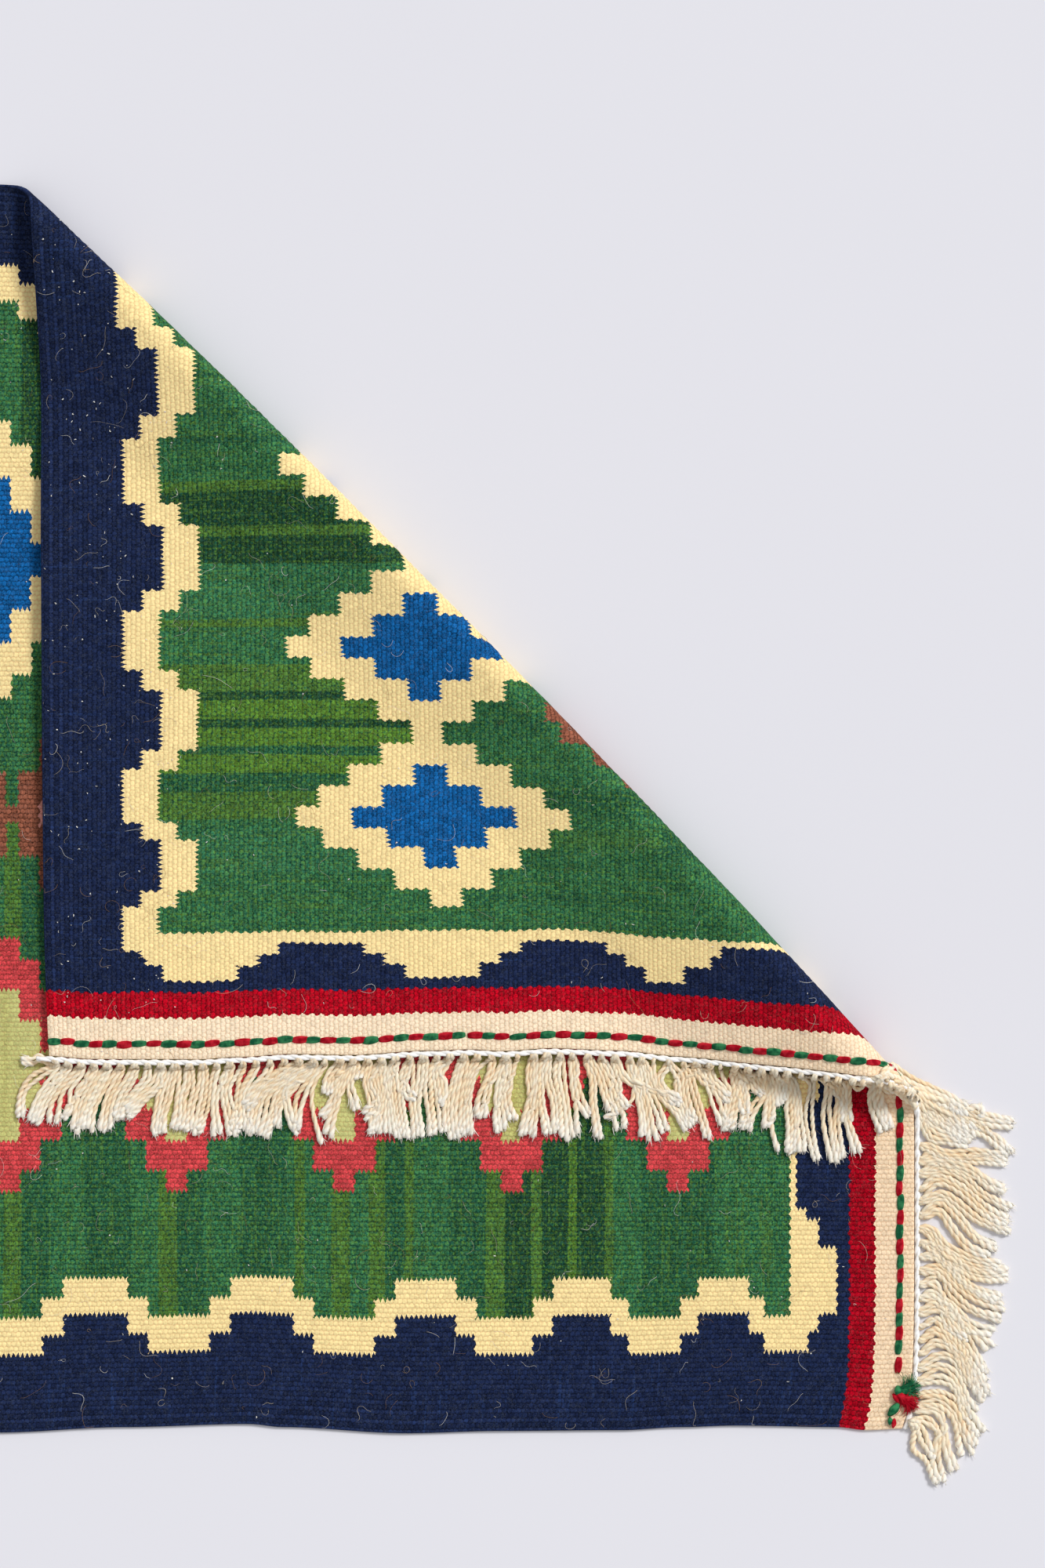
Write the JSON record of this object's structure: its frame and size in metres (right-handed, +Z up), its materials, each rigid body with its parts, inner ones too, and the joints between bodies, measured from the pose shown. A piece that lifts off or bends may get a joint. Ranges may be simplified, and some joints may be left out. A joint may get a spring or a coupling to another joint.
{
  "type": "kilim rug",
  "caption": "Flat-woven wool rug with stepped diamonds, a stepped border and fringed ends, lying flat with a corner folded over onto it.",
  "frame": {"origin": "middle of the rug's underside, on the surface that it lies on", "axes": "+X along the rug towards the end whose corner is folded, +Y across it towards the folded long side, +Z up"},
  "size_m": [1.6293, 0.8505, 0.033],
  "materials": {
    "wool_weave": "weft-faced tapestry weave in matt wool, green field, navy border, cream, blue, brown, pink and red figures",
    "white_twining": "white twined cotton",
    "fringe_cotton": "natural cotton, two-ply twisted, frayed tips",
    "knot_yarn": "red and green wool yarn"
  },
  "bodies": {
    "root": {"rug_cloth": "wool_weave", "twining_folded_end": "white_twining", "twining_far_end": "white_twining", "fringe_folded_end": "fringe_cotton", "fringe_far_end": "fringe_cotton", "twined_line_knot": "knot_yarn"}
  },
  "joints": []
}
